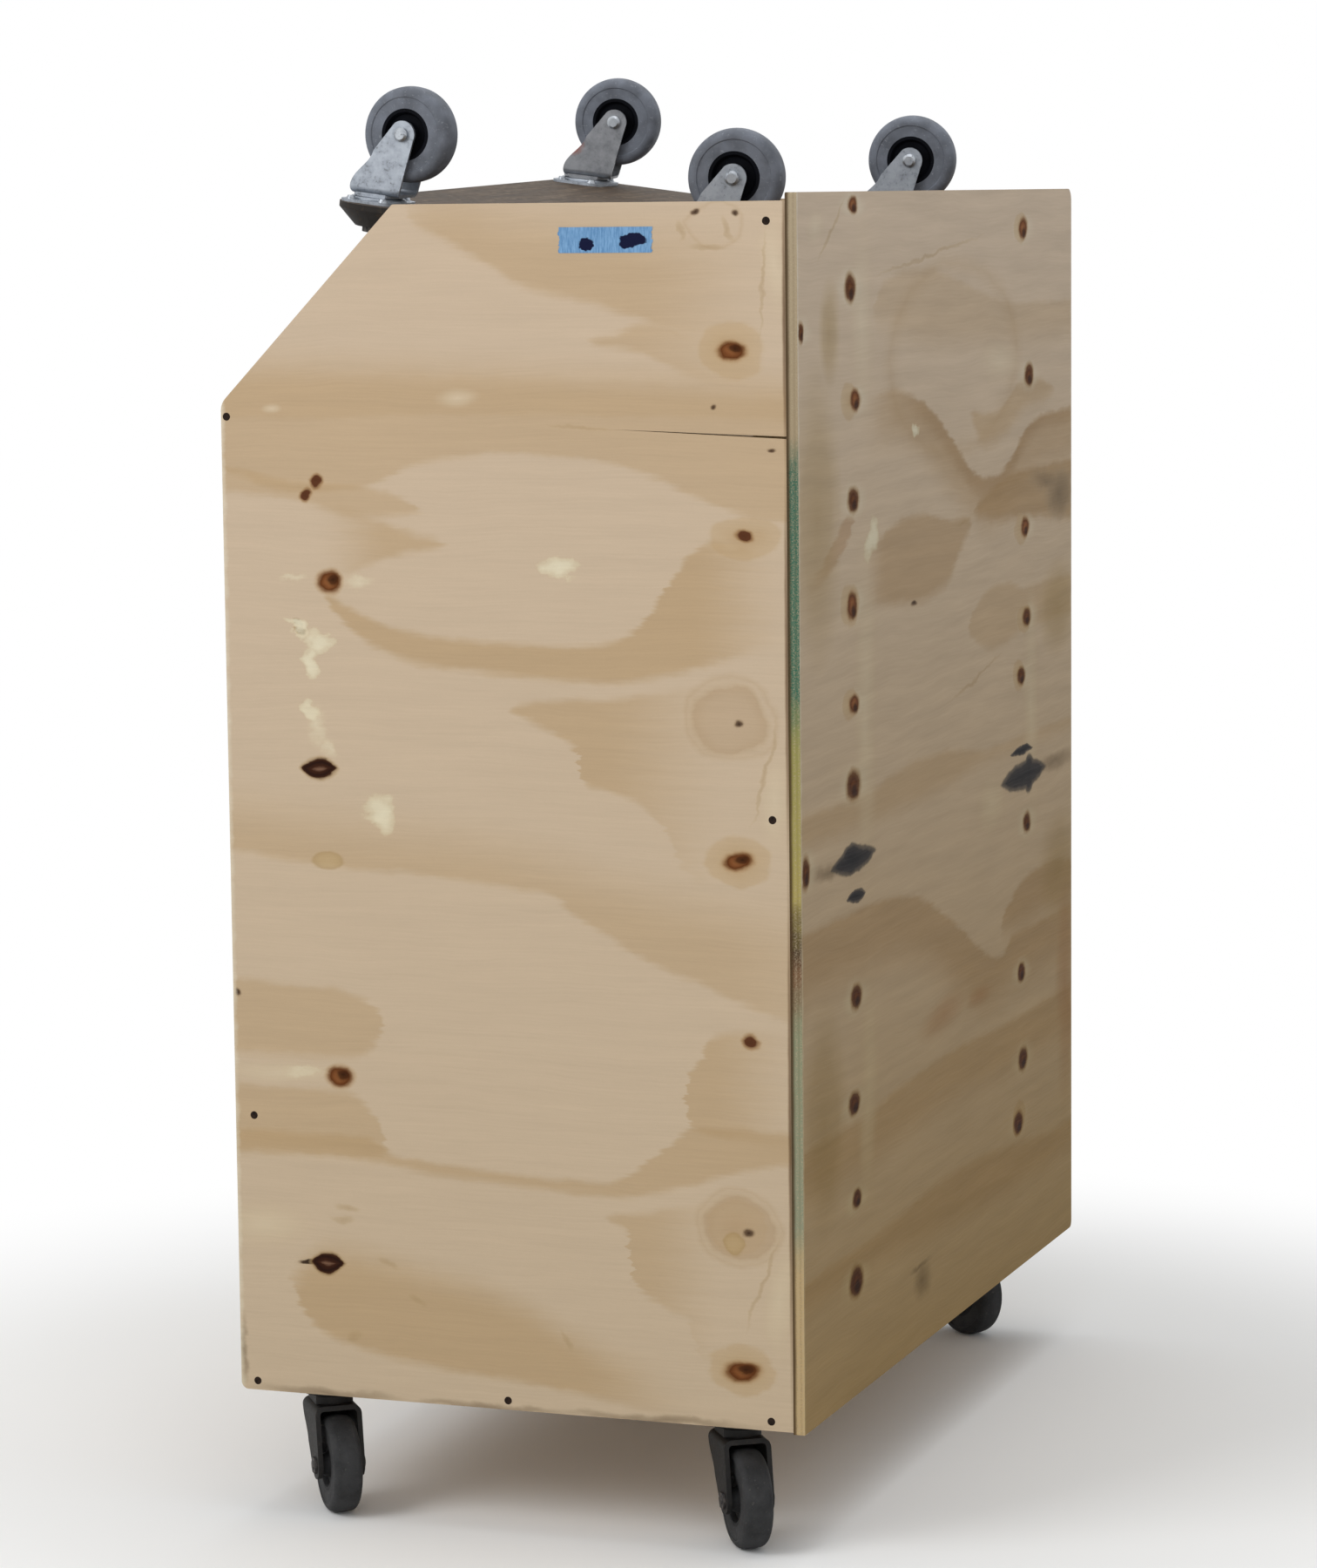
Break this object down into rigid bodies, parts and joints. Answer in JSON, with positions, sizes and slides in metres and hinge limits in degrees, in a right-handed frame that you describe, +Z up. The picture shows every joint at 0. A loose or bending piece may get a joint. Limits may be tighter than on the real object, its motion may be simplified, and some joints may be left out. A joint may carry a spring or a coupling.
{
  "type": "blanket storage cart",
  "caption": "Plywood box cart on swivel casters for storing moving blankets, open at the top and sloped front corner, with an upturned wheeled dolly stowed across its mouth.",
  "frame": {"origin": "on the ground under the middle of the box", "axes": "+Z up, -Y towards the sloped front opening, +Y towards the back panel, +X across the width towards the side panel with the split"},
  "size_m": [1.0464, 0.61, 1.4799],
  "materials": {
    "ply_right": "raw sanded pine plywood with knots",
    "ply_left": "raw pine plywood",
    "ply_back": "raw pine plywood, greyed",
    "ply_front": "raw pine plywood",
    "ply_floor": "raw pine plywood",
    "batten_pine": "raw sawn pine",
    "rack_pine": "raw sawn pine",
    "dark_steel": "dull dark steel",
    "black_steel": "black coated pressed steel",
    "black_hub": "black moulded core",
    "black_tyre": "black rubber tread",
    "zinc": "zinc plated pressed steel",
    "bright_steel": "bright plated steel",
    "dark_hub": "dark moulded core",
    "grey_tyre": "worn grey rubber",
    "worn_deck": "worn dusty board",
    "deck_rubber": "ribbed rubber mat"
  },
  "bodies": {
    "cart": {"back_panel": "ply_back", "base_kingpins": "dark_steel", "base_plate_bolts": "dark_steel", "base_plates": "black_steel", "batten_screws": "dark_steel", "corner_batten_front_left": "batten_pine", "corner_batten_front_right": "batten_pine", "corner_batten_rear_left": "batten_pine", "corner_batten_rear_right": "batten_pine", "floor_board": "ply_floor", "front_panel": "ply_front", "rack_cleats": "rack_pine", "rack_rail_front": "rack_pine", "rack_rail_rear": "rack_pine", "side_panel_left": "ply_left", "side_panel_right": "ply_right", "side_screws": "dark_steel"},
    "dolly": {"dolly_deck": "worn_deck", "dolly_kingpins": "bright_steel", "dolly_pad": "deck_rubber", "dolly_plate_bolts": "bright_steel", "dolly_plates": "zinc"},
    "base_front_right_swivel": {"base_front_right_fork": "black_steel", "base_front_right_axle": "dark_steel"},
    "base_front_right_wheel": {"base_front_right_hub": "black_hub", "base_front_right_tyre": "black_tyre"},
    "base_front_left_swivel": {"base_front_left_fork": "black_steel", "base_front_left_axle": "dark_steel"},
    "base_front_left_wheel": {"base_front_left_hub": "black_hub", "base_front_left_tyre": "black_tyre"},
    "base_rear_right_swivel": {"base_rear_right_fork": "black_steel", "base_rear_right_axle": "dark_steel"},
    "base_rear_right_wheel": {"base_rear_right_hub": "black_hub", "base_rear_right_tyre": "black_tyre"},
    "base_rear_left_swivel": {"base_rear_left_fork": "black_steel", "base_rear_left_axle": "dark_steel"},
    "base_rear_left_wheel": {"base_rear_left_hub": "black_hub", "base_rear_left_tyre": "black_tyre"},
    "dolly_front_right_swivel": {"dolly_front_right_fork": "zinc", "dolly_front_right_axle": "bright_steel"},
    "dolly_front_right_wheel": {"dolly_front_right_hub": "dark_hub", "dolly_front_right_tyre": "grey_tyre"},
    "dolly_front_left_swivel": {"dolly_front_left_fork": "zinc", "dolly_front_left_axle": "bright_steel"},
    "dolly_front_left_wheel": {"dolly_front_left_hub": "dark_hub", "dolly_front_left_tyre": "grey_tyre"},
    "dolly_rear_right_swivel": {"dolly_rear_right_fork": "zinc", "dolly_rear_right_axle": "bright_steel"},
    "dolly_rear_right_wheel": {"dolly_rear_right_hub": "dark_hub", "dolly_rear_right_tyre": "grey_tyre"},
    "dolly_rear_left_swivel": {"dolly_rear_left_fork": "zinc", "dolly_rear_left_axle": "bright_steel"},
    "dolly_rear_left_wheel": {"dolly_rear_left_hub": "dark_hub", "dolly_rear_left_tyre": "grey_tyre"}
  },
  "joints": [
    {"name": "dolly_lift", "type": "slide", "parent": "cart", "child": "dolly", "axis": [0, 0, 1], "range_m": [0, 0.6]},
    {"name": "base_front_right_swivel_turn", "type": "hinge", "parent": "cart", "child": "base_front_right_swivel", "pos_m": [0.45, -0.231, 0.13], "axis": [0, 0, 1], "continuous": true},
    {"name": "base_front_right_wheel_roll", "type": "hinge", "parent": "base_front_right_swivel", "child": "base_front_right_wheel", "pos_m": [0.47476, -0.21234, 0.05], "axis": [-0.6018, 0.7986, 0], "continuous": true},
    {"name": "base_front_left_swivel_turn", "type": "hinge", "parent": "cart", "child": "base_front_left_swivel", "pos_m": [-0.45, -0.231, 0.13], "axis": [0, 0, 1], "continuous": true},
    {"name": "base_front_left_wheel_roll", "type": "hinge", "parent": "base_front_left_swivel", "child": "base_front_left_wheel", "pos_m": [-0.47711, -0.21597, 0.05], "axis": [-0.4848, -0.8746, 0], "continuous": true},
    {"name": "base_rear_right_swivel_turn", "type": "hinge", "parent": "cart", "child": "base_rear_right_swivel", "pos_m": [0.45, 0.215, 0.13], "axis": [0, 0, 1], "continuous": true},
    {"name": "base_rear_right_wheel_roll", "type": "hinge", "parent": "base_rear_right_swivel", "child": "base_rear_right_wheel", "pos_m": [0.47539, 0.23278, 0.05], "axis": [-0.5736, 0.8192, 0], "continuous": true},
    {"name": "base_rear_left_swivel_turn", "type": "hinge", "parent": "cart", "child": "base_rear_left_swivel", "pos_m": [-0.45, 0.215, 0.13], "axis": [0, 0, 1], "continuous": true},
    {"name": "base_rear_left_wheel_roll", "type": "hinge", "parent": "base_rear_left_swivel", "child": "base_rear_left_wheel", "pos_m": [-0.46778, 0.18961, 0.05], "axis": [0.8192, -0.5736, 0], "continuous": true},
    {"name": "dolly_front_right_swivel_turn", "type": "hinge", "parent": "dolly", "child": "dolly_front_right_swivel", "pos_m": [0.23035, -0.24766, 1.34061], "axis": [0.0314, 0.1339, 0.9905], "continuous": true},
    {"name": "dolly_front_right_wheel_roll", "type": "hinge", "parent": "dolly_front_right_swivel", "child": "dolly_front_right_wheel", "pos_m": [0.23487, -0.20698, 1.41068], "axis": [0.9971, -0.0733, -0.0217], "continuous": true},
    {"name": "dolly_front_left_swivel_turn", "type": "hinge", "parent": "dolly", "child": "dolly_front_left_swivel", "pos_m": [-0.38035, -0.24509, 1.35963], "axis": [0.0314, 0.1339, 0.9905], "continuous": true},
    {"name": "dolly_front_left_wheel_roll", "type": "hinge", "parent": "dolly_front_left_swivel", "child": "dolly_front_left_wheel", "pos_m": [-0.38231, -0.20461, 1.42993], "axis": [0.9898, 0.1338, -0.0495], "continuous": true},
    {"name": "dolly_rear_right_swivel_turn", "type": "hinge", "parent": "dolly", "child": "dolly_rear_right_swivel", "pos_m": [0.23035, 0.10909, 1.29237], "axis": [0.0314, 0.1339, 0.9905], "continuous": true},
    {"name": "dolly_rear_right_wheel_roll", "type": "hinge", "parent": "dolly_rear_right_swivel", "child": "dolly_rear_right_wheel", "pos_m": [0.22893, 0.14964, 1.36265], "axis": [0.9921, 0.1166, -0.0472], "continuous": true},
    {"name": "dolly_rear_left_swivel_turn", "type": "hinge", "parent": "dolly", "child": "dolly_rear_left_swivel", "pos_m": [-0.38035, 0.11166, 1.31139], "axis": [0.0314, 0.1339, 0.9905], "continuous": true},
    {"name": "dolly_rear_left_wheel_roll", "type": "hinge", "parent": "dolly_rear_left_swivel", "child": "dolly_rear_left_wheel", "pos_m": [-0.38231, 0.15215, 1.3817], "axis": [0.9898, 0.1338, -0.0495], "continuous": true}
  ]
}
